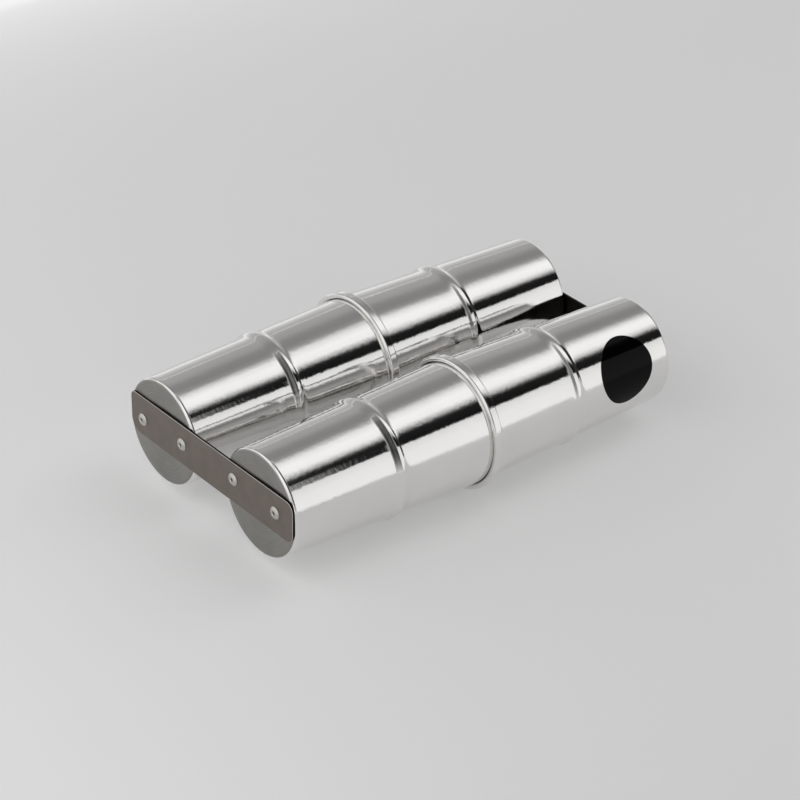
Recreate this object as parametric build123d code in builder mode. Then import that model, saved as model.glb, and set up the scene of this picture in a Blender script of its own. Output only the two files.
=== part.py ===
# A double ganza shaker: two tapered sheet-metal tubes side by side, joined at
# both ends by a riveted strip, with loose steel pellets inside each tube.
#
# +X runs along the tubes, from the front end to the rear end. The near tube is
# on the -Y side and the far tube on the +Y side. +Z is up, and the origin is at
# the middle of the bounding box's bottom, where the two middle seams rest.

import os
from math import atan2, cos, degrees, radians, sin

from build123d import *

# Tubes. Each is two drawn cups, mouth to mouth.
tube_length = 235.0
tube_gap = 10.1
end_radius = 27.5
mouth_radius = 31.35
sheet = 0.9
end_edge_radius = 2.2

# Swaged bead, one round each cup.
bead_from_end = 62.2
bead_half_width = 3.3
bead_peak = 1.35
bead_foot_radius = 2.4
bead_crest_radius = 1.9

# Rolled seam. The front cup's mouth is hooked outwards and the rear cup's is
# curled over it and tucked underneath.
seam_width = 5.0
seam_clearance = 0.05
fold_radius = 0.3
curl_radius = 1.2
seam_foot_radius = 1.4
hook_gap = 0.35

# End strips, the same piece at both ends, turned round. A strip reaches past its
# outer rivets by the margin. Left and right are as seen from outside, and the
# shift is to the right.
strip_end_margin = 11.6
strip_height = 22.0
strip_thickness = 1.2
strip_high_left_radius = 3.3
strip_low_left_radius = 7.5
strip_right_radius = 5.0
strip_edge_break = 0.3
strip_shift = 1.3
front_strip_rise = 2.35
rear_strip_rise = -3.2

# Blind rivets. Each tube's end takes two, one on the inner and one on the outer
# side of its axis. The holes are drilled by hand, each a little above or below
# the strip's middle line, listed from the left one as seen from outside.
inner_rivet_offset = 18.45
outer_rivet_offset = 14.15
hole_shift = -1.8
hole_rises = [-1.75, 0.3, 1.85, 0.25]
rivet_radius = 1.6
rivet_hole_clearance = 0.05
rivet_head_radius = 3.25
rivet_head_height = 1.2
rivet_head_rim = 0.25
rivet_mouth_radius = 1.25
rivet_mouth_depth = 0.5
rivet_bore_radius = 0.95
rivet_bulb_radius = 2.3
rivet_bulb_length = 2.6
rivet_bulb_neck = 0.5
rivet_body_end = 1.2

# Mandrel, the broken-off nail that stays in each rivet.
mandrel_clearance = 0.05
mandrel_break_depth = 0.9
mandrel_head_radius = 1.45
mandrel_head_length = 1.6
mandrel_head_edge = 0.5

# Round self-adhesive label on the near tube.
label_radius = 16.9
label_thickness = 0.2
label_glue = 0.03
label_from_end = 29.1
label_turn = 20.2

# Loose pellets: short lengths of steel wire, lying along the tube's floor.
pellet_radius = 2.4
pellet_length = 7.0
pellet_gap = 0.35
pellet_rows = 7
pellets_in_row = 3

overrun = 1.0

# Sizes that follow from the ones above.
half_length = tube_length / 2
half_seam = seam_width / 2
taper = (mouth_radius - end_radius) / (half_length - half_seam)
layer = sheet + seam_clearance
seam_radius = mouth_radius + 3 * layer
axis_height = seam_radius
tube_spacing = 2 * seam_radius + tube_gap
near_y = -tube_spacing / 2
far_y = tube_spacing / 2
sides = {"near": near_y, "far": far_y}
bead_to_middle = half_length - bead_from_end
inner_rivet_reach = far_y - inner_rivet_offset
outer_rivet_reach = far_y + outer_rivet_offset
strip_length = 2 * (outer_rivet_reach + strip_end_margin)


def wall_radius(distance_to_middle):
    """Outer radius of the plain tapered wall, at a distance from the tube's middle."""
    return end_radius + taper * (half_length - distance_to_middle)


# Cups. A cup's outline is the line of its outer face, drawn from the middle of
# its closed end to the edge of its mouth, as distance to the tube's middle and
# radius.
bead_points = [
    (bead_to_middle + bead_half_width, wall_radius(bead_to_middle + bead_half_width)),
    (bead_to_middle, wall_radius(bead_to_middle) + bead_peak),
    (bead_to_middle - bead_half_width, wall_radius(bead_to_middle - bead_half_width)),
]
bead_radii = [bead_foot_radius, bead_crest_radius, bead_foot_radius]
closed_end_points = [(half_length, 0), (half_length, end_radius)]

# The front cup's fold turns inside the rear cup's curl, past the middle.
fold_face = half_seam - 2 * sheet - 2 * seam_clearance
front_hook_points = [
    (-fold_face, mouth_radius),
    (-fold_face, mouth_radius + layer + seam_clearance),
    (half_seam - sheet - hook_gap, mouth_radius + layer + seam_clearance),
]
rear_curl_points = [
    (half_seam, mouth_radius),
    (half_seam, seam_radius),
    (-half_seam, seam_radius),
    (-half_seam, mouth_radius + seam_clearance),
    (fold_face - hook_gap, mouth_radius + seam_clearance),
]
front_outline = closed_end_points + bead_points + front_hook_points
front_radii = [end_edge_radius, *bead_radii, fold_radius, fold_radius]
rear_outline = closed_end_points + bead_points + rear_curl_points
rear_radii = [end_edge_radius, *bead_radii, seam_foot_radius, curl_radius, curl_radius, curl_radius]


# The two ends of the shaker. Each names its four rivets from the left one, as
# seen from outside.
ends = {
    "front": {
        "sign": -1,
        "outline": front_outline,
        "radii": front_radii,
        "rise": front_strip_rise,
        "rivets": ["far_outer", "far_inner", "near_inner", "near_outer"],
    },
    "rear": {
        "sign": 1,
        "outline": rear_outline,
        "radii": rear_radii,
        "rise": rear_strip_rise,
        "rivets": ["near_outer", "near_inner", "far_inner", "far_outer"],
    },
}


def end_plane(end, offset):
    """Plane of an end's face, offset outwards: its X runs to the right as seen from outside, and its Y up."""
    sign = ends[end]["sign"]
    origin = (sign * (half_length + offset), 0, axis_height)
    return Plane(origin=origin, x_dir=(0, sign, 0), z_dir=(sign, 0, 0))


def rivet_spots(end):
    """Names and places of one end's rivets, on the end's plane."""
    strip_end = ends[end]
    reaches = [-outer_rivet_reach, -inner_rivet_reach, inner_rivet_reach, outer_rivet_reach]
    return {
        name: (strip_shift + hole_shift + reach, strip_end["rise"] + rise)
        for name, reach, rise in zip(strip_end["rivets"], reaches, hole_rises)
    }


def write(part, label):
    """Names a finished piece and writes its file."""
    part.label = label
    export_step(part, f"parts/{label}.step")


os.makedirs("parts", exist_ok=True)

# Cups
cup_parts = {}
for end, form in ends.items():
    sign = form["sign"]
    for side, tube_y in sides.items():
        profile_plane = Plane(
            origin=(0, tube_y, axis_height), x_dir=(sign, 0, 0), z_dir=(0, -sign, 0)
        )
        holes = [spot for name, spot in rivet_spots(end).items() if name.startswith(side)]
        with BuildPart() as cup:
            with BuildSketch(profile_plane) as section:
                with BuildLine() as sheet_line:
                    outer = FilletPolyline(*form["outline"], radius=form["radii"])
                    offset(outer, amount=sheet, side=Side.LEFT)
                make_face()
            revolve(axis=Axis((0, tube_y, axis_height), (1, 0, 0)))
            with BuildSketch(end_plane(end, overrun)):
                with Locations(*holes):
                    Circle(rivet_radius + rivet_hole_clearance)
            extrude(amount=-(overrun + sheet + overrun), mode=Mode.SUBTRACT)
        cup_parts[side, end] = cup.part
        write(cup.part, f"{side}_{end}_cup")

# Strips
for end, form in ends.items():
    with BuildPart() as strip:
        with BuildSketch(end_plane(end, 0)) as outline:
            with Locations((strip_shift, form["rise"])):
                Rectangle(strip_length, strip_height)
            corners = outline.vertices().sort_by(Axis.X)
            low_left, high_left = corners[:2].sort_by(Axis.Y)
            fillet(corners[2:], strip_right_radius)
            fillet(outline.vertices().sort_by_distance(low_left)[0], strip_low_left_radius)
            fillet(outline.vertices().sort_by_distance(high_left)[0], strip_high_left_radius)
        extrude(amount=strip_thickness)
        outer_face = strip.faces().sort_by(Axis.X)[-1 if end == "rear" else 0]
        fillet(outer_face.outer_wire().edges(), strip_edge_break)
        with BuildSketch(end_plane(end, -overrun)):
            with Locations(*rivet_spots(end).values()):
                Circle(rivet_radius + rivet_hole_clearance)
        extrude(amount=overrun + strip_thickness + overrun, mode=Mode.SUBTRACT)
    write(strip.part, f"{end}_strip")

# Rivets
# Heights along a rivet are measured from the strip's outer face, outwards.
grip = strip_thickness + sheet
bulb_start = -grip
bulb_end = bulb_start - rivet_bulb_length
body_end = bulb_end - rivet_body_end
break_height = rivet_head_height - mandrel_break_depth
mandrel_end = body_end - mandrel_head_length
for end in ends:
    seat = end_plane(end, strip_thickness)
    for name, spot in rivet_spots(end).items():
        place = seat.from_local_coords(Vector(*spot))
        side_plane = Plane(origin=place, x_dir=seat.x_dir, z_dir=-seat.y_dir)
        rivet_axis = Axis(place, seat.z_dir)
        with BuildPart() as rivet:
            with BuildSketch(side_plane):
                with BuildLine():
                    Polyline(
                        (rivet_bore_radius, body_end),
                        (rivet_radius, body_end),
                        (rivet_radius, bulb_end),
                    )
                    ThreePointArc(
                        (rivet_radius, bulb_end),
                        (rivet_bulb_radius, (bulb_start + bulb_end) / 2),
                        (rivet_radius + rivet_bulb_neck, bulb_start),
                    )
                    Polyline(
                        (rivet_radius + rivet_bulb_neck, bulb_start),
                        (rivet_radius, bulb_start),
                        (rivet_radius, 0),
                        (rivet_head_radius, 0),
                        (rivet_head_radius, rivet_head_rim),
                    )
                    RadiusArc(
                        (rivet_head_radius, rivet_head_rim),
                        (rivet_mouth_radius, rivet_head_height),
                        -(rivet_head_radius + rivet_mouth_radius) / 2,
                    )
                    Polyline(
                        (rivet_mouth_radius, rivet_head_height),
                        (rivet_bore_radius, rivet_head_height - rivet_mouth_depth),
                        (rivet_bore_radius, body_end),
                    )
                make_face()
            revolve(axis=rivet_axis)
        write(rivet.part, f"{end}_{name}_rivet")

        stem_radius = rivet_bore_radius - mandrel_clearance
        with BuildPart() as mandrel:
            with BuildSketch(side_plane):
                with BuildLine():
                    Polyline(
                        (0, break_height),
                        (stem_radius, break_height),
                        (stem_radius, body_end),
                        (mandrel_head_radius, body_end),
                        (mandrel_head_radius, mandrel_end + mandrel_head_edge),
                        (mandrel_head_radius - mandrel_head_edge, mandrel_end),
                        (0, mandrel_end),
                        close=True,
                    )
                make_face()
            revolve(axis=rivet_axis)
        write(mandrel.part, f"{end}_{name}_mandrel")

# Label, cut as a disc from a thin skin that follows the rear cup's wall.
label_x = half_length - label_from_end
skin_inner = label_glue
skin_outer = label_glue + label_thickness
with BuildPart() as label:
    with BuildSketch(Plane.XZ.offset(-near_y)) as skin:
        with Locations((0, axis_height)):
            reach_low = label_x - label_radius - overrun
            reach_high = label_x + label_radius + overrun
            Polygon(
                (reach_low, wall_radius(reach_low) + skin_inner),
                (reach_high, wall_radius(reach_high) + skin_inner),
                (reach_high, wall_radius(reach_high) + skin_outer),
                (reach_low, wall_radius(reach_low) + skin_outer),
                align=None,
            )
    revolve(axis=Axis((0, near_y, axis_height), (1, 0, 0)))
    facing = Plane(
        origin=(label_x, near_y, axis_height),
        x_dir=(1, 0, 0),
        z_dir=(0, -cos(radians(label_turn)), sin(radians(label_turn))),
    )
    with BuildSketch(facing):
        Circle(label_radius)
    extrude(amount=mouth_radius + overrun, mode=Mode.INTERSECT)
write(label.part, "label")

# Pellets, in rows side by side on the tube's floor.
floor_radius = wall_radius(0) - sheet
pellet_pitch = 2 * pellet_radius + pellet_gap
row_turn = degrees(2 * atan2(pellet_pitch / 2, floor_radius - pellet_radius))
for side, tube_y in sides.items():
    with BuildPart() as pellets:
        for row in range(pellet_rows):
            turn = (row - (pellet_rows - 1) / 2) * row_turn
            for place in range(pellets_in_row):
                x = (place - (pellets_in_row - 1) / 2) * (pellet_length + pellet_gap)
                tip = abs(x) + pellet_length / 2
                lift = wall_radius(tip) - sheet - pellet_radius - pellet_gap / 2
                y = tube_y + lift * sin(radians(turn))
                z = axis_height - lift * cos(radians(turn))
                start = x - pellet_length / 2
                with BuildSketch(Plane.YZ.offset(start)):
                    with Locations((y, z)):
                        Circle(pellet_radius)
                extrude(amount=pellet_length)
    write(pellets.part, f"{side}_pellets")
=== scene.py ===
# %% [markdown]
# # A double ganza shaker in Blender
#
# The shaker is two polished metal tubes side by side. Each tube is two tapered
# cups joined mouth to mouth by a rolled seam, with one small bead pressed round
# each cup. A flat strip is riveted across each pair of ends, and loose pellets
# lie inside. The measured model is loaded first, as a fixed frame, and every
# piece here rides on one of its bodies. All lengths are in metres.

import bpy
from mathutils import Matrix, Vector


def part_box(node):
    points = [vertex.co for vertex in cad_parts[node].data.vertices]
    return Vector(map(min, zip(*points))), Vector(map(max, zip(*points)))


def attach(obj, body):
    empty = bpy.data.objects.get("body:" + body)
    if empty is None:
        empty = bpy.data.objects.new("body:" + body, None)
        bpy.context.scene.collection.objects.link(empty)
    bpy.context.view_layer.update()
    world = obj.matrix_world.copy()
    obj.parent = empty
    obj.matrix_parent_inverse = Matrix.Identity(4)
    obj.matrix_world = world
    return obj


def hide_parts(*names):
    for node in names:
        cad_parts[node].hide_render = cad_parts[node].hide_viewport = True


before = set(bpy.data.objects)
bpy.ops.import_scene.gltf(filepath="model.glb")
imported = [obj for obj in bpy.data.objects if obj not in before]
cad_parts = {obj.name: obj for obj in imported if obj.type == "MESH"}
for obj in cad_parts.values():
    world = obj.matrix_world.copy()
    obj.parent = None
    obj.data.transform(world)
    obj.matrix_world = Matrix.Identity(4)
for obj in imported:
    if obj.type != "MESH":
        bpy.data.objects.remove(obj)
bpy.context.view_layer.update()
print("nodes:", len(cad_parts))

# %% [markdown]
# Python's own tools come next, with one name for a millimetre and one function
# for colours. A colour is written as it looks on a screen, and a shader wants it
# linear, so every hex value passes through that function.

# %% Tools and colours
from math import cos, pi, radians, sin, tan

import bmesh
import bpy
from mathutils import Matrix, Vector

MM = 0.001


def srgb(hex_colour):
    """A colour written as sRGB hex, as the linear colour that a shader wants."""
    parts = [int(hex_colour[place : place + 2], 16) / 255 for place in (1, 3, 5)]
    linear = [part / 12.92 if part <= 0.04045 else ((part + 0.055) / 1.055) ** 2.4 for part in parts]
    return (*linear, 1.0)


print("white is", srgb("#ffffff"))

# %% [markdown]
# ## The camera
#
# The photograph was taken from the front left and above, from far away with a
# long lens, so the tubes hardly taper with distance. The place of the camera is
# given by its turn round the shaker, its height angle, its distance and a small
# roll, and the lens by its focal length in widths of the picture.

# %% Camera
CAMERA_TURN = radians(-39.294)
CAMERA_RISE = radians(31.326)
CAMERA_ROLL = radians(0.899)
CAMERA_DISTANCE = 1384.5 * MM
FOCAL_IN_WIDTHS = 3.5003
AIM_RIGHT = 1.93 * MM
AIM_UP = 5.47 * MM
SENSOR = 36.0
CLIP_END = 20.0

rear_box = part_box("near_rear_cup")
far_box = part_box("far_rear_cup")
AXIS_Z = (rear_box[0].z + rear_box[1].z) / 2
NEAR_Y = (rear_box[0].y + rear_box[1].y) / 2
FAR_Y = (far_box[0].y + far_box[1].y) / 2
centre = Vector((0, 0, AXIS_Z))

back = Vector((
    sin(CAMERA_TURN) * cos(CAMERA_RISE),
    -cos(CAMERA_TURN) * cos(CAMERA_RISE),
    sin(CAMERA_RISE),
))
level_right = Vector((cos(CAMERA_TURN), sin(CAMERA_TURN), 0))
level_up = back.cross(level_right)
right = level_right * cos(CAMERA_ROLL) + level_up * sin(CAMERA_ROLL)
up = level_up * cos(CAMERA_ROLL) - level_right * sin(CAMERA_ROLL)

camera_data = bpy.data.cameras.new("camera")
camera_data.sensor_width = SENSOR
camera_data.lens = FOCAL_IN_WIDTHS * SENSOR
camera_data.clip_end = CLIP_END
camera = bpy.data.objects.new("camera", camera_data)
bpy.context.scene.collection.objects.link(camera)
place = centre + back * CAMERA_DISTANCE - right * AIM_RIGHT - up * AIM_UP
camera.matrix_world = Matrix((
    (right.x, up.x, back.x, place.x),
    (right.y, up.y, back.y, place.y),
    (right.z, up.z, back.z, place.z),
    (0, 0, 0, 1),
))
bpy.context.scene.camera = camera
print("camera stands at", [round(v, 3) for v in place])

# %% [markdown]
# ## Materials
#
# Each material is a Principled shader. One small function adds a node with its
# settings and its links, and a few more make the groups of nodes that come back
# in every recipe: a sum, a mix of two colours, a range and a noise. A noise is
# given by the size of its marks in the real metal.

# %% Functions for shader nodes
def in_use(sockets, name):
    """The socket of that name that the node's settings have switched on."""
    return next(socket for socket in sockets if socket.enabled and socket.name == name)


def add(tree, kind, links=None, **settings):
    """Adds a node to a tree. Settings are its own properties, and links its inputs."""
    node = tree.nodes.new(kind)
    for name, value in settings.items():
        setattr(node, name, value)
    for name, value in (links or {}).items():
        socket = node.inputs[name] if isinstance(name, int) else in_use(node.inputs, name)
        if isinstance(value, bpy.types.NodeSocket):
            tree.links.new(value, socket)
        else:
            socket.default_value = value
    return node


def new_material(name):
    """An empty material, and its tree with only an output."""
    material = bpy.data.materials.new(name)
    material.use_nodes = True
    material.node_tree.nodes.clear()
    return material, material.node_tree


def finish_material(tree, shader):
    """Joins a shader to the tree's output."""
    add(tree, "ShaderNodeOutputMaterial", {"Surface": shader.outputs[0]})


def maths(tree, operation, *values):
    """What a Math node makes of the values."""
    return add(tree, "ShaderNodeMath", dict(enumerate(values)), operation=operation).outputs[0]


def blend(tree, share, first, second):
    """The colour that lies that share of the way from the first to the second."""
    mix = add(tree, "ShaderNodeMix", {"Factor": share, "A": first, "B": second}, data_type="RGBA")
    return in_use(mix.outputs, "Result")


def ranged(tree, value, low, high):
    """A value between nothing and one, brought between two levels."""
    return add(tree, "ShaderNodeMapRange", {"Value": value, "To Min": low, "To Max": high}).outputs[0]


def noise(tree, sizes, detail, roughness=0.5):
    """A noise in Object coordinates, with marks of these sizes along X, Y and Z."""
    where = add(tree, "ShaderNodeTexCoord").outputs["Object"]
    scale = tuple(1 / size for size in sizes)
    placed = add(tree, "ShaderNodeMapping", {"Vector": where, "Scale": scale}).outputs[0]
    return add(tree, "ShaderNodeTexNoise", {
        "Vector": placed, "Scale": 1.0, "Detail": detail, "Roughness": roughness,
    }).outputs["Fac"]


def metal(tree, colour, roughness, **others):
    """A metal's shader, joined to the tree's output."""
    finish_material(tree, add(tree, "ShaderNodeBsdfPrincipled", {
        "Base Color": colour, "Metallic": 1.0, "Roughness": roughness, **others,
    }))


print("shader functions are ready")


# %% [markdown]
# The tubes are drawn aluminium, buffed to a mirror. Drawing and buffing leave
# faint ripples in the wall, a few millimetres long and stretched round the tube.
# They are hundredths of a millimetre high, far too low to see by themselves, but
# the soft edge of a dark reflection turns ragged where it crosses them. A
# stretched noise makes them. A second, broad noise makes the polish a little
# duller in places.

# %% Polished drawn aluminium
RIPPLE_STEP = 2.2 * MM
RIPPLE_ROUND = 4.0 * MM
RIPPLE_HEIGHT = 0.06 * MM
POLISH_PATCH = 22 * MM


def polished_aluminium():
    """Buffed aluminium: nearly a mirror, with the faint ripples of drawing and buffing."""
    material, tree = new_material("polished_drawn_aluminium")
    ripples = noise(tree, (RIPPLE_STEP, RIPPLE_ROUND, RIPPLE_ROUND), detail=4.0, roughness=0.65)
    patches = noise(tree, (POLISH_PATCH,) * 3, detail=4.0)
    bump = add(tree, "ShaderNodeBump", {"Height": ripples, "Distance": RIPPLE_HEIGHT})
    colour = blend(tree, patches, srgb("#ecebea"), srgb("#e4e3e0"))
    metal(tree, colour, ranged(tree, patches, 0.05, 0.09), Normal=bump.outputs[0])
    return material


TUBE_METAL = polished_aluminium()
print("tube metal:", TUBE_METAL.name, "with ripples", RIPPLE_STEP / MM, "mm long")

# %% [markdown]
# The closed ends are the same sheet, left satin: a tool has turned fine rings
# round the middle. Such rings spread a reflection outwards and inwards only, so
# a satin disc shows two bright fans and two dark ones. A shader does this with
# Anisotropic, and its Tangent must follow the rings. Here the tangent is the
# cross product of the axis and the line from the axis to the point. The real
# rings are near 0.1 mm apart, too fine for this picture, so they are drawn 0.5 mm
# apart.

# %% Satin turned aluminium
TURNED_STEP = 0.5 * MM
STAIN = 7 * MM


def turned_aluminium(name, centre_y):
    """Turned aluminium: satin, with rings round one tube's axis."""
    material, tree = new_material(name)
    where = add(tree, "ShaderNodeTexCoord").outputs["Object"]
    away = add(tree, "ShaderNodeVectorMath", {0: where, 1: (0, centre_y, AXIS_Z)}, operation="SUBTRACT")
    flat = add(tree, "ShaderNodeVectorMath", {0: away.outputs[0], 1: (0, 1, 1)}, operation="MULTIPLY")
    crossed = add(tree, "ShaderNodeVectorMath", {
        0: (1, 0, 0), 1: flat.outputs[0],
    }, operation="CROSS_PRODUCT")
    tangent = add(tree, "ShaderNodeVectorMath", {0: crossed.outputs[0]}, operation="NORMALIZE")
    radius = add(tree, "ShaderNodeVectorMath", {0: flat.outputs[0]}, operation="LENGTH")
    rings = add(tree, "ShaderNodeTexNoise", {
        "W": maths(tree, "MULTIPLY", radius.outputs["Value"], 1 / TURNED_STEP), "Scale": 1.0, "Detail": 2.0,
    }, noise_dimensions="1D").outputs["Fac"]
    stains = noise(tree, (STAIN,) * 3, detail=5.0)
    tone = blend(tree, stains, srgb("#b2b2ae"), srgb("#989691"))
    colour = blend(tree, rings, tone, srgb("#83807b"))
    metal(tree, colour, ranged(tree, rings, 0.30, 0.42), Anisotropic=0.8, Tangent=tangent.outputs[0])
    return material


END_METALS = {
    "near": turned_aluminium("satin_turned_aluminium_near", NEAR_Y),
    "far": turned_aluminium("satin_turned_aluminium_far", FAR_Y),
}
print("end metals turn round Y =", [round(y / MM, 1) for y in (NEAR_Y, FAR_Y)], "mm")

# %% [markdown]
# The strips are cut from flat aluminium bar and rubbed along their length, so
# their grain runs across the shaker. They have gone dull and brownish with
# handling. The grain is a noise stretched along the strip, and the dull patches
# are a second one. Their inner sides and sheared edges are painted almost black,
# as painted shade: the shade in the gap between the tubes and the dark line
# along the strip's edges. X times the normal's X tells them apart: it is 0.12 m
# on an outer face, nothing on an edge and less than nothing on an inner side. The
# broken edge between is painted near white: worn bright metal, and a painted
# highlight along it.

# %% Rubbed aluminium strip
PAINTED_SHADE_BELOW = 0.06
WEAR_AND_HIGHLIGHT_BELOW = 0.11
GRAIN_STEP = 0.35 * MM
GRAIN_RUN = 14 * MM
GRAIN_DEPTH = 0.01 * MM
DULL_PATCH = 6 * MM


def rubbed_strip():
    """Dull aluminium bar with a fine grain along it, painted shade on its inner sides and edges, and a
    painted highlight on its broken edge.
    """
    material, tree = new_material("rubbed_aluminium_strip_painted_shade_and_highlight")
    grain = noise(tree, (GRAIN_STEP, GRAIN_RUN, GRAIN_STEP), detail=3.0)
    patches = noise(tree, (DULL_PATCH,) * 3, detail=5.0)
    tone = blend(tree, patches, srgb("#887f79"), srgb("#756d67"))
    where = add(tree, "ShaderNodeTexCoord")
    facing = add(tree, "ShaderNodeSeparateXYZ", {"Vector": where.outputs["Normal"]})
    place = add(tree, "ShaderNodeSeparateXYZ", {"Vector": where.outputs["Object"]})
    outwards = maths(tree, "MULTIPLY", facing.outputs["X"], place.outputs["X"])
    # Painted highlight: the broken edge is painted near white, for worn bright metal and the highlight
    # along it.
    wear_and_painted_highlight = blend(tree, maths(tree, "LESS_THAN", outwards, WEAR_AND_HIGHLIGHT_BELOW), tone, srgb("#dad6d2"))
    # Painted shade: the inner sides and sheared edges are painted almost black.
    painted_shade_sides = blend(tree, maths(tree, "LESS_THAN", outwards, PAINTED_SHADE_BELOW), wear_and_painted_highlight, srgb("#1c1a18"))
    bump = add(tree, "ShaderNodeBump", {"Height": grain, "Strength": 0.5, "Distance": GRAIN_DEPTH})
    metal(tree, painted_shade_sides, ranged(tree, grain, 0.34, 0.5), Normal=bump.outputs[0])
    return material


STRIP_METAL = rubbed_strip()
print("strip metal:", STRIP_METAL.name)

# %% [markdown]
# The rivets are blind rivets of soft aluminium with a tumbled skin, each with the
# broken end of its steel mandrel inside. The mandrel's tones are painted almost
# black, as painted shade for the hollow of the rivet. The loose pellets are short
# lengths of drawn steel wire. All three differ only in colour, gloss and the size
# of their marks, so one function mixes two tones of a metal by a noise.

# %% Rivets, mandrels and pellets
GLOSS_SPREAD = 0.05


def mottled_metal(name, light, dark, roughness, mark, height):
    """A metal of two close tones, with marks of one size pressed into it."""
    material, tree = new_material(name)
    marks = noise(tree, (mark,) * 3, detail=4.0)
    bump = add(tree, "ShaderNodeBump", {"Height": marks, "Strength": 0.6, "Distance": height})
    gloss = ranged(tree, marks, roughness - GLOSS_SPREAD, roughness + GLOSS_SPREAD)
    metal(tree, blend(tree, marks, srgb(light), srgb(dark)), gloss, Normal=bump.outputs[0])
    return material


RIVET_METAL = mottled_metal("tumbled_aluminium_rivet", "#d2d0cb", "#b3b0aa", 0.3, 0.8 * MM, 0.03 * MM)
# Painted shade: the mandrel is painted almost black, for the shade down in the rivet's hollow.
MANDREL_PAINTED_SHADE = mottled_metal("mandrel_steel_painted_shade", "#2e2b28", "#1a1817", 0.5, 0.4 * MM, 0.08 * MM)
PELLET_STEEL = mottled_metal("cut_steel_wire", "#9a9896", "#7d7b78", 0.32, 1.1 * MM, 0.02 * MM)
print("small metals:", [made.name for made in (RIVET_METAL, MANDREL_PAINTED_SHADE, PELLET_STEEL)])

# %% [markdown]
# The label is a plain disc of glossy black vinyl. Vinyl stuck on by hand is never
# quite flat, and its gloss has the faint dimples of its glue.

# %% Glossy black vinyl
DIMPLE = 2.5 * MM
DIMPLE_DEPTH = 0.01 * MM


def black_vinyl():
    """Black self-adhesive vinyl: a plastic, so not metallic, with a clear sharp gloss."""
    material, tree = new_material("gloss_black_vinyl")
    dimples = noise(tree, (DIMPLE,) * 3, detail=2.0)
    bump = add(tree, "ShaderNodeBump", {"Height": dimples, "Strength": 0.4, "Distance": DIMPLE_DEPTH})
    finish_material(tree, add(tree, "ShaderNodeBsdfPrincipled", {
        "Base Color": blend(tree, dimples, srgb("#020202"), srgb("#060606")),
        "Roughness": ranged(tree, dimples, 0.05, 0.1),
        "Specular IOR Level": 0.08,
        "Normal": bump.outputs[0],
    }))
    return material


LABEL_VINYL = black_vinyl()
print("label:", LABEL_VINYL.name)

# %% [markdown]
# The strips, rivets, mandrels, pellets and label have the right shape in the
# measured model, so each keeps its own mesh and only gets its material. The name
# of a node says which.

# %% Dress the measured pieces
FINISHES = {
    "_rivet": RIVET_METAL,
    "_mandrel": MANDREL_PAINTED_SHADE,
    "_strip": STRIP_METAL,
    "_pellets": PELLET_STEEL,
    "label": LABEL_VINYL,
    "_cup": TUBE_METAL,
}
for name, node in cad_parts.items():
    for ending, material in FINISHES.items():
        if name.endswith(ending):
            node.data.materials.clear()
            node.data.materials.append(material)
print("dressed", len(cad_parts), "nodes in", len(FINISHES), "finishes")

# %% [markdown]
# ## The cups
#
# A cup is a shape of revolution, so one outline turned round the tube's axis
# gives it. The outline is the outer face of the sheet, from the middle of the
# closed end to the edge inside the seam, and then the inner face back again.
#
# Swaging a bead also pulls up the wall beside it, by a tenth of a millimetre, and
# leaves no straight slope in the bead. The measured model leaves this out, but
# the reflections curl there, so the bead is drawn rounder, at the same height.
# The seam is drawn a hundredth of a millimetre small, so that it stays inside the
# facets of the measured one.

# %% Outline of a cup
SHEET = 0.9 * MM
END_RADIUS = 27.5 * MM
MOUTH_RADIUS = 31.35 * MM
END_EDGE = 2.2 * MM
BEAD_TO_MIDDLE = 55.3 * MM
BEAD_HALF_WIDTH = 3.3 * MM
BEAD_PEAK = 1.55 * MM
BEAD_FOOT = 6.0 * MM
BEAD_CREST = 3.4 * MM
PULLED_RUN = 3.0 * MM
PULLED_RISE = 0.12 * MM
PULLED_RADIUS = 75 * MM
HALF_SEAM = 2.5 * MM
SEAM_CLEARANCE = 0.05 * MM
FOLD = 0.3 * MM
CURL = 1.2 * MM
SEAM_FOOT = 1.4 * MM
HOOK_GAP = 0.35 * MM
LAYER = SHEET + SEAM_CLEARANCE
SEAM_DRAWN_IN = 0.01 * MM
SEAM_RADIUS = MOUTH_RADIUS + 3 * LAYER - SEAM_DRAWN_IN
TUBE_HALF = 117.5 * MM
TAPER = (MOUTH_RADIUS - END_RADIUS) / (TUBE_HALF - HALF_SEAM)
STEP = 2.0 * MM
ARC_STEP = radians(4)
FEWEST_STEPS = 6


def wall(distance):
    """Radius of the plain wall at a distance from the tube's middle."""
    return END_RADIUS + TAPER * (TUBE_HALF - distance)


def rounded(points, radii):
    """A line through the points, with its inner corners rounded, as closely spaced points."""
    points = [Vector(point) for point in points]
    line = [points[0]]
    for before, corner, after, radius in zip(points, points[1:], points[2:], radii):
        to_before = (before - corner).normalized()
        to_after = (after - corner).normalized()
        turn = pi - to_before.angle(to_after)
        reach = radius * tan(turn / 2)
        middle = corner + (to_before + to_after).normalized() * radius / cos(turn / 2)
        start = corner + to_before * reach - middle
        end = corner + to_after * reach - middle
        count = max(FEWEST_STEPS, round(turn / ARC_STEP))
        for place in range(count + 1):
            share = place / count
            spread = sin(turn)
            weight = sin((1 - share) * turn) / spread, sin(share * turn) / spread
            line.append(middle + start * weight[0] + end * weight[1])
    line.append(points[-1])
    close = [line[0]]
    for point in line[1:]:
        run = (point - close[-1]).length
        steps = max(1, round(run / STEP))
        first = close[-1]
        close += [first.lerp(point, place / steps) for place in range(1, steps + 1)]
    return close


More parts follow.
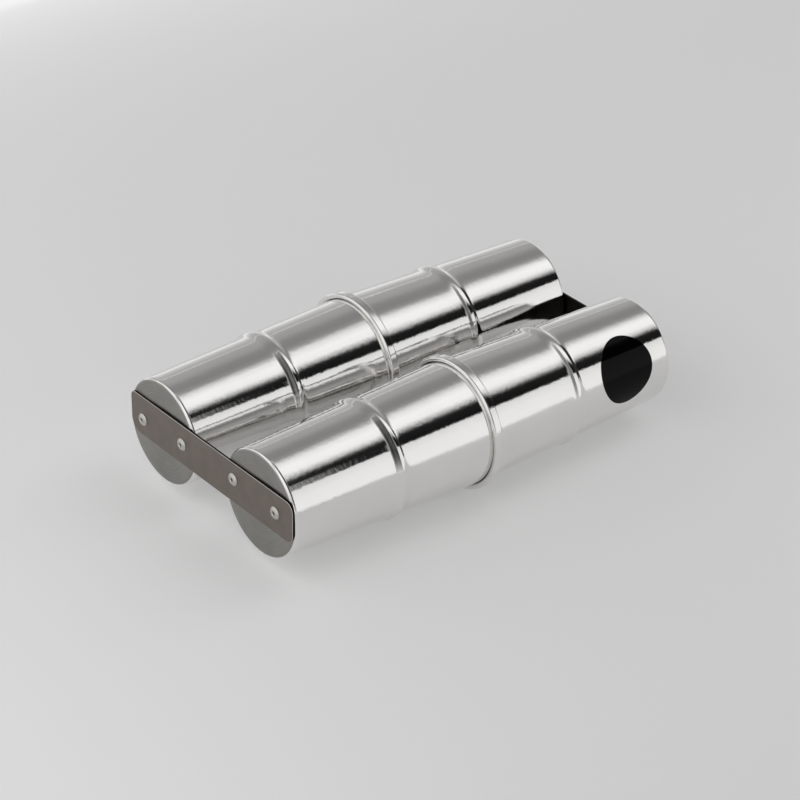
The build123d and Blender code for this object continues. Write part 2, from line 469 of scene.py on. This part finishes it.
closed_end = [(TUBE_HALF, 0), (TUBE_HALF, END_RADIUS)]
bead_rises = {
    BEAD_HALF_WIDTH + PULLED_RUN: 0,
    BEAD_HALF_WIDTH: PULLED_RISE,
    0: BEAD_PEAK,
    -BEAD_HALF_WIDTH: PULLED_RISE,
    -BEAD_HALF_WIDTH - PULLED_RUN: 0,
}
bead = [(BEAD_TO_MIDDLE + away, wall(BEAD_TO_MIDDLE + away) + rise) for away, rise in bead_rises.items()]
fold_face = HALF_SEAM - 2 * SHEET - 2 * SEAM_CLEARANCE
front_hook = [
    (-fold_face, MOUTH_RADIUS),
    (-fold_face, MOUTH_RADIUS + LAYER + SEAM_CLEARANCE),
    (HALF_SEAM - SHEET - HOOK_GAP, MOUTH_RADIUS + LAYER + SEAM_CLEARANCE),
]
rear_curl = [
    (HALF_SEAM, MOUTH_RADIUS),
    (HALF_SEAM, SEAM_RADIUS),
    (-HALF_SEAM, SEAM_RADIUS),
    (-HALF_SEAM, MOUTH_RADIUS + SEAM_CLEARANCE),
    (fold_face - HOOK_GAP, MOUTH_RADIUS + SEAM_CLEARANCE),
]
bead_radii = [PULLED_RADIUS, BEAD_FOOT, BEAD_CREST, BEAD_FOOT, PULLED_RADIUS]
OUTLINES = {
    "front": rounded(closed_end + bead + front_hook, [END_EDGE, *bead_radii, FOLD, FOLD]),
    "rear": rounded(closed_end + bead + rear_curl, [END_EDGE, *bead_radii, SEAM_FOOT, CURL, CURL, CURL]),
}


def with_thickness(line):
    """The sheet's outline: its outer line, then the same line a sheet's thickness inside, back again."""
    inner = []
    for place, point in enumerate(line):
        before = line[max(place - 1, 0)]
        after = line[min(place + 1, len(line) - 1)]
        along = (after - before).normalized()
        inner.append(point + Vector((-along.y, along.x)) * SHEET)
    inner[0] = Vector((inner[0].x, 0))
    return line + inner[::-1]


for end, line in OUTLINES.items():
    print(end, "outline has", len(line), "points")

# %% [markdown]
# Geometry Nodes turn the outline round the axis. A grid has one column for each
# point of the outline and one row for each step round the tube. Each grid point
# looks up its outline point by its index, and is then turned into place. Half a
# place is added to the index before it is divided, so that rounding can't move a
# point to the next column. The last row lands on the first, so the two are merged.

# %% Tree that turns an outline
MERGE_DISTANCE = 1e-7
HALF_A_PLACE = 0.5
LATHE_INPUTS = {
    "Geometry": "NodeSocketGeometry",
    "Steps round": "NodeSocketInt",
    "Axis height": "NodeSocketFloat",
    "Axis side": "NodeSocketFloat",
    "Direction": "NodeSocketFloat",
    "Wall material": "NodeSocketMaterial",
    "End material": "NodeSocketMaterial",
}


def lathe_tree():
    """Geometry Nodes that turn an outline of X and radius round the X axis."""
    tree = bpy.data.node_groups.new("turned_sheet", "GeometryNodeTree")
    for name, kind in LATHE_INPUTS.items():
        tree.interface.new_socket(name, in_out="INPUT", socket_type=kind)
    tree.interface.new_socket("Geometry", in_out="OUTPUT", socket_type="NodeSocketGeometry")
    given = add(tree, "NodeGroupInput").outputs

    size = add(tree, "GeometryNodeAttributeDomainSize", {"Geometry": given["Geometry"]}, component="MESH")
    rows = maths(tree, "ADD", given["Steps round"], 1.0)
    grid = add(tree, "GeometryNodeMeshGrid", {
        "Size X": 1.0, "Size Y": 1.0, "Vertices X": size.outputs["Point Count"], "Vertices Y": rows,
    })
    index = add(tree, "GeometryNodeInputIndex").outputs[0]
    column = maths(tree, "FLOOR", maths(tree, "DIVIDE", maths(tree, "ADD", index, HALF_A_PLACE), rows))
    row = maths(tree, "SUBTRACT", index, maths(tree, "MULTIPLY", column, rows))
    turn = maths(tree, "DIVIDE", maths(tree, "MULTIPLY", row, 2 * pi), given["Steps round"])
    looked_up = add(tree, "GeometryNodeSampleIndex", {
        "Geometry": given["Geometry"], "Index": column,
        "Value": add(tree, "GeometryNodeInputPosition").outputs[0],
    }, data_type="FLOAT_VECTOR", domain="POINT")
    along = add(tree, "ShaderNodeSeparateXYZ", {"Vector": looked_up.outputs[0]}).outputs
    out_sideways = maths(tree, "MULTIPLY", along["Y"], maths(tree, "SINE", turn))
    sideways = maths(tree, "MULTIPLY", out_sideways, given["Direction"])
    out_upwards = maths(tree, "MULTIPLY", along["Y"], maths(tree, "COSINE", turn))
    place = add(tree, "ShaderNodeCombineXYZ", {
        "X": maths(tree, "MULTIPLY", along["X"], given["Direction"]),
        "Y": maths(tree, "ADD", sideways, given["Axis side"]),
        "Z": maths(tree, "ADD", out_upwards, given["Axis height"]),
    }).outputs[0]
    moved = add(tree, "GeometryNodeSetPosition", {"Geometry": grid.outputs["Mesh"], "Position": place})
    merged = add(tree, "GeometryNodeMergeByDistance", {
        "Geometry": moved.outputs[0], "Distance": MERGE_DISTANCE,
    })
    smooth = add(tree, "GeometryNodeSetShadeSmooth", {"Geometry": merged.outputs[0]})
    real = add(tree, "GeometryNodeRealizeInstances", {"Geometry": smooth.outputs[0]})
    walls = add(tree, "GeometryNodeSetMaterial", {
        "Geometry": real.outputs[0], "Material": given["Wall material"],
    })
    position = add(tree, "GeometryNodeInputPosition").outputs[0]
    position_x = add(tree, "ShaderNodeSeparateXYZ", {"Vector": position}).outputs["X"]
    on_end = add(tree, "FunctionNodeCompare", data_type="FLOAT", operation="GREATER_THAN")
    tree.links.new(maths(tree, "MULTIPLY", position_x, given["Direction"]), on_end.inputs[0])
    on_end.inputs[1].default_value = TUBE_HALF - SHEET / 2
    disc = add(tree, "GeometryNodeSetMaterial", {
        "Geometry": walls.outputs[0], "Selection": on_end.outputs[0], "Material": given["End material"],
    })
    add(tree, "NodeGroupOutput", {"Geometry": disc.outputs[0]})
    return tree


LATHE = lathe_tree()


def set_inputs(modifier, values):
    """Sets a modifier's inputs by the identifiers of their sockets."""
    items = modifier.node_group.interface.items_tree
    sockets = {item.name: item.identifier for item in items if item.in_out == "INPUT"}
    for name, value in values.items():
        modifier[sockets[name]] = value


def outline_mesh(name, line):
    """A mesh that holds only the points of an outline."""
    mesh = bpy.data.meshes.new(name)
    mesh.from_pydata([(point.x, point.y, 0) for point in line], [], [])
    return mesh


def made_plain(name, source):
    """A plain mesh object from what an object's modifiers make, in place of it."""
    bpy.context.view_layer.update()
    made = source.evaluated_get(bpy.context.evaluated_depsgraph_get())
    mesh = bpy.data.meshes.new_from_object(made)
    mesh.name = name
    bpy.data.objects.remove(source)
    piece = bpy.data.objects.new(name, mesh)
    bpy.context.scene.collection.objects.link(piece)
    return piece


print("tree:", LATHE.name, "with", len(LATHE.nodes), "nodes")

# %% [markdown]
# Each cup starts as an object that holds only its outline, with the tree on it as
# a modifier. What the modifier makes is kept as a plain mesh. Its signed volume is
# printed, because a shape that is inside out would have a negative one.
#
# Two faults are known here and not yet mended. All four volumes are negative, so
# the faces of the cups point inwards and have to be flipped after the merge. The
# rear cups have about 220,000 triangles, and 224 steps would bring them under
# 200,000.

# %% Turn the four cups
STEPS_ROUND = 256
for side, axis_y in (("near", NEAR_Y), ("far", FAR_Y)):
    for end, direction in (("front", -1.0), ("rear", 1.0)):
        node = f"{side}_{end}_cup"
        outline = outline_mesh(node, with_thickness(OUTLINES[end]))
        source = bpy.data.objects.new(node + "_outline", outline)
        bpy.context.scene.collection.objects.link(source)
        modifier = source.modifiers.new("turn", "NODES")
        modifier.node_group = LATHE
        set_inputs(modifier, {
            "Steps round": STEPS_ROUND,
            "Axis height": AXIS_Z,
            "Axis side": axis_y,
            "Direction": direction,
            "Wall material": TUBE_METAL,
            "End material": END_METALS[side],
        })
        cup = made_plain(node + "_turned", source)
        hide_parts(node)
        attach(cup, "shaker")
        shape = bmesh.new()
        shape.from_mesh(cup.data)
        volume = shape.calc_volume(signed=True) / MM**3
        print(cup.name, len(cup.data.polygons), "faces,", round(volume), "mm3")
        shape.free()

# %% [markdown]
# ## The studio
#
# A mirror shows only what stands round it, so the bands on the tubes are made
# by the studio: a long soft lamp overhead, a pale card at the camera's side,
# black flags between them, and a grey card behind. Only the camera can't see
# them, so that it can look from any side. They light the shaker and the floor and
# hide the room from them like real cards. Most stand outside the picture, but the
# left lamp and the left flag cross the camera's view, and real ones would need a
# gap for the lens there.
#
# The floor is pale grey paper. It is lit like everything else, and glows a
# little to the camera, so that it photographs pale and still takes a shadow.
# Metal sees the same floor, with the same shadow. On white paper the undersides
# of the tubes would be lost against it, and on this one they stay a tone apart.

# %% Floor
FLOOR_HALF = 4.0
PAPER_LIFT = 0.18
WHITE = srgb("#ffffff")


def sheet_mesh(name, rows):
    """A mesh of quads between rows of points, every row as long as the first."""
    count = len(rows[0])
    points = [point for row in rows for point in row]
    quads = [
        (corner, corner + 1, corner + count + 1, corner + count)
        for place in range(len(rows) - 1)
        for corner in range(place * count, (place + 1) * count - 1)
    ]
    mesh = bpy.data.meshes.new(name)
    mesh.from_pydata(points, [], quads)
    return mesh


def stand(name, mesh, material, in_picture=True):
    """Stands a piece of the studio round the shaker. The camera can be kept from seeing it."""
    piece = bpy.data.objects.new(name, mesh)
    bpy.context.scene.collection.objects.link(piece)
    piece.data.materials.append(material)
    piece.visible_camera = in_picture


def looked_at(tree):
    """One where the camera looks, by itself or by way of a reflection, and nothing for light that falls."""
    rays = add(tree, "ShaderNodeLightPath").outputs
    seen = maths(tree, "MAXIMUM", rays["Is Camera Ray"], rays["Is Glossy Ray"])
    return maths(tree, "MAXIMUM", seen, rays["Is Transmission Ray"])


def pale_paper():
    """Paper that photographs pale, and still takes the shadow of what stands on it."""
    material, tree = new_material("pale_paper")
    finish_material(tree, add(tree, "ShaderNodeBsdfPrincipled", {
        "Base Color": srgb("#e6e6e6"),
        "Roughness": 0.9,
        "Specular IOR Level": 0.0,
        "Emission Color": WHITE,
        "Emission Strength": maths(tree, "MULTIPLY", looked_at(tree), PAPER_LIFT),
    }))
    return material


floor_rows = [[(-FLOOR_HALF, y, 0), (FLOOR_HALF, y, 0)] for y in (-FLOOR_HALF, FLOOR_HALF)]
stand("floor", sheet_mesh("floor", floor_rows), pale_paper())
print("floor is", 2 * FLOOR_HALF, "m square")

# %% [markdown]
# Every card is part of one big cylinder round the shaker. Its place is given by
# the turn round the X axis, from level at the camera's side (0), over the top
# (90), to level behind (180), because that is how the tubes' curved walls see
# it. Its light changes across it from one stop to the next, as on a soft box
# with a bright middle. A stop is a turn in degrees and a level, where 1 is white.
# Cloth is never quite flat, so a noise moves the stops a little to and fro, which
# makes the edges of the reflections ripple. A flag is a card with little or no
# light. The left flag grades to light grey at both its ends.

# %% Cards
BRIGHTEST = 1.2
CARD_DISTANCE = 0.58
CARD_STEPS = 24
RIPPLE_RUN = 9 * MM
RIPPLE_ACROSS = 45 * MM
NOISE_MIDDLE = 0.5
NEW_STOP_PLACE = 0.5
SOFT_END = 0.55
FADE_POWER = 2.5
LEFT = -1.4
RIGHT = 1.4
LEFT_LAMP_EDGE = -0.33
LEFT_FLAG_START = -0.32
LEFT_FLAG_END = 0.07
OVERHEAD_START = 0.08
GREY_FLAG_END = 0.17
CORNER_START = -1.5
CORNER_END = -0.45


def grey(level):
    """A card's colour for a level, as a share of the brightest level."""
    return (level / BRIGHTEST,) * 3 + (1,)


def glowing(name, stops, ripple, soft):
    """A matt card that glows by its turn, from one level to the next, with rippled edges and soft ends."""
    material, tree = new_material(name)
    turn = add(tree, "ShaderNodeAttribute", attribute_name="turn").outputs["Fac"]
    folds = noise(tree, (RIPPLE_RUN, RIPPLE_ACROSS, RIPPLE_ACROSS), detail=3.0)
    moved = maths(tree, "ADD", folds, -NOISE_MIDDLE)
    moved = maths(tree, "MULTIPLY_ADD", moved, 2 * ripple, turn)
    first, last = stops[0][0], stops[-1][0]
    share = add(tree, "ShaderNodeMapRange", {"Value": moved, "From Min": first, "From Max": last})
    ramp = add(tree, "ShaderNodeValToRGB", {"Fac": share.outputs[0]})
    while len(ramp.color_ramp.elements) < len(stops):
        ramp.color_ramp.elements.new(NEW_STOP_PLACE)
    for element, (where, level) in zip(ramp.color_ramp.elements, stops):
        element.position = (where - first) / (last - first)
        element.color = grey(level)
    along = add(tree, "ShaderNodeAttribute", attribute_name="along").outputs["Fac"]
    bend = maths(tree, "POWER", maths(tree, "ABSOLUTE", along), FADE_POWER)
    colour = blend(tree, maths(tree, "MULTIPLY", bend, soft), ramp.outputs[0], grey(SOFT_END))
    finish_material(tree, add(tree, "ShaderNodeEmission", {"Color": colour, "Strength": BRIGHTEST}))
    return material


def curved_card(name, start, end, stops, ripple=0.0, soft=0.0):
    """A card from X = start to X = end, lit by its turn round the X axis in degrees."""
    first, last = stops[0][0], stops[-1][0]
    turns = [first + (last - first) * place / CARD_STEPS for place in range(CARD_STEPS + 1)]
    rows = []
    for turn in turns:
        y, z = -CARD_DISTANCE * cos(radians(turn)), AXIS_Z + CARD_DISTANCE * sin(radians(turn))
        rows.append([(start, y, z), (end, y, z)])
    mesh = sheet_mesh(name, rows)
    turn_layer = mesh.attributes.new("turn", "FLOAT", "POINT")
    for index, value in enumerate(turn_layer.data):
        value.value = turns[index // 2]
    along_layer = mesh.attributes.new("along", "FLOAT", "POINT")
    for index, value in enumerate(along_layer.data):
        value.value = (-1, 1)[index % 2]
    stand(name, mesh, glowing(name, stops, ripple, soft), in_picture=False)
    print(name, "from", first, "to", last, "degrees")


curved_card("side_card", LEFT_FLAG_END, RIGHT, [(-14, 0.5), (-7, 0.7), (0, 1.0), (19, 0.97), (34.5, 0.84)])
curved_card("grey_flag", LEFT_FLAG_END, GREY_FLAG_END, [(34.5, 0.3), (52, 0.25)])
curved_card("black_flag", GREY_FLAG_END, RIGHT, [(34.5, 0.006), (46, 0.012)])
curved_card("left_flag", LEFT_FLAG_START, LEFT_FLAG_END, [
    (-4, 0.8), (4, 0.45), (12, 0.2), (20, 0.08), (30, 0.03), (56, 0.03), (84, 0.14), (99, 0.33),
], soft=1.0)
curved_card("overhead_lamp", OVERHEAD_START, RIGHT, [
    (44, 0.01), (52.5, 0.015), (54.5, 0.14), (59.8, 0.7),
    (66.7, 1.05), (79.5, 1.1), (89.5, 0.9), (99.5, 0.33),
], ripple=10.0)
curved_card("left_lamp", LEFT, LEFT_LAMP_EDGE, [(10, 0.5), (30, 0.9), (60, 1.1), (84, 1.1), (100, 0.5)])
curved_card("rear_card", LEFT_FLAG_START, RIGHT, [
    (99.5, 0.33), (108.6, 0.26), (119.8, 0.28), (133.2, 0.39), (149.6, 0.43),
    (150.8, 0.95), (152, 0.45), (164.6, 0.55), (172, 0.75), (182, 1.0),
], ripple=4.0)
curved_card("corner_lamp", CORNER_START, CORNER_END, [(148, 0.5), (160, 1.1), (176, 1.1), (184, 0.7)])

# %% [markdown]
# A flag stands across the far end of the tubes. Only the steep right-hand sides
# of the beads and seams see it, and it draws the thin dark line there.

# %% End flag
END_FLAG_X = 1.9
END_FLAG_HALF = 0.9
END_FLAG_FOOT = -0.1
END_FLAG_TOP = 1.0
END_FLAG_LEVEL = 0.03
end_rows = [
    [(END_FLAG_X, y, z) for y in (-END_FLAG_HALF, END_FLAG_HALF)]
    for z in (END_FLAG_FOOT, END_FLAG_TOP)
]
flag_paper, flag_tree = new_material("black_paper")
flag_colour = (END_FLAG_LEVEL,) * 3 + (1,)
finish_material(flag_tree, add(flag_tree, "ShaderNodeEmission", {"Color": flag_colour}))
stand("end_flag", sheet_mesh("end_flag", end_rows), flag_paper, in_picture=False)
print("end flag at X =", END_FLAG_X, "m")

# %% [markdown]
# The rest of the room is white, for the light that falls as well as for the
# camera and the reflections. A colour renders a little darker than it is written,
# because the flags hide a part of the room. The Standard view changes no colour.

# %% World
ROOM_LIGHT = 1.0
world = bpy.data.worlds.new("studio")
world.use_nodes = True
bpy.context.scene.world = world
world.node_tree.nodes.clear()
room = add(world.node_tree, "ShaderNodeBackground", {"Color": WHITE, "Strength": ROOM_LIGHT})
add(world.node_tree, "ShaderNodeOutputWorld", {"Surface": room.outputs[0]})
bpy.context.scene.view_settings.view_transform = "Standard"
print("room light", ROOM_LIGHT)
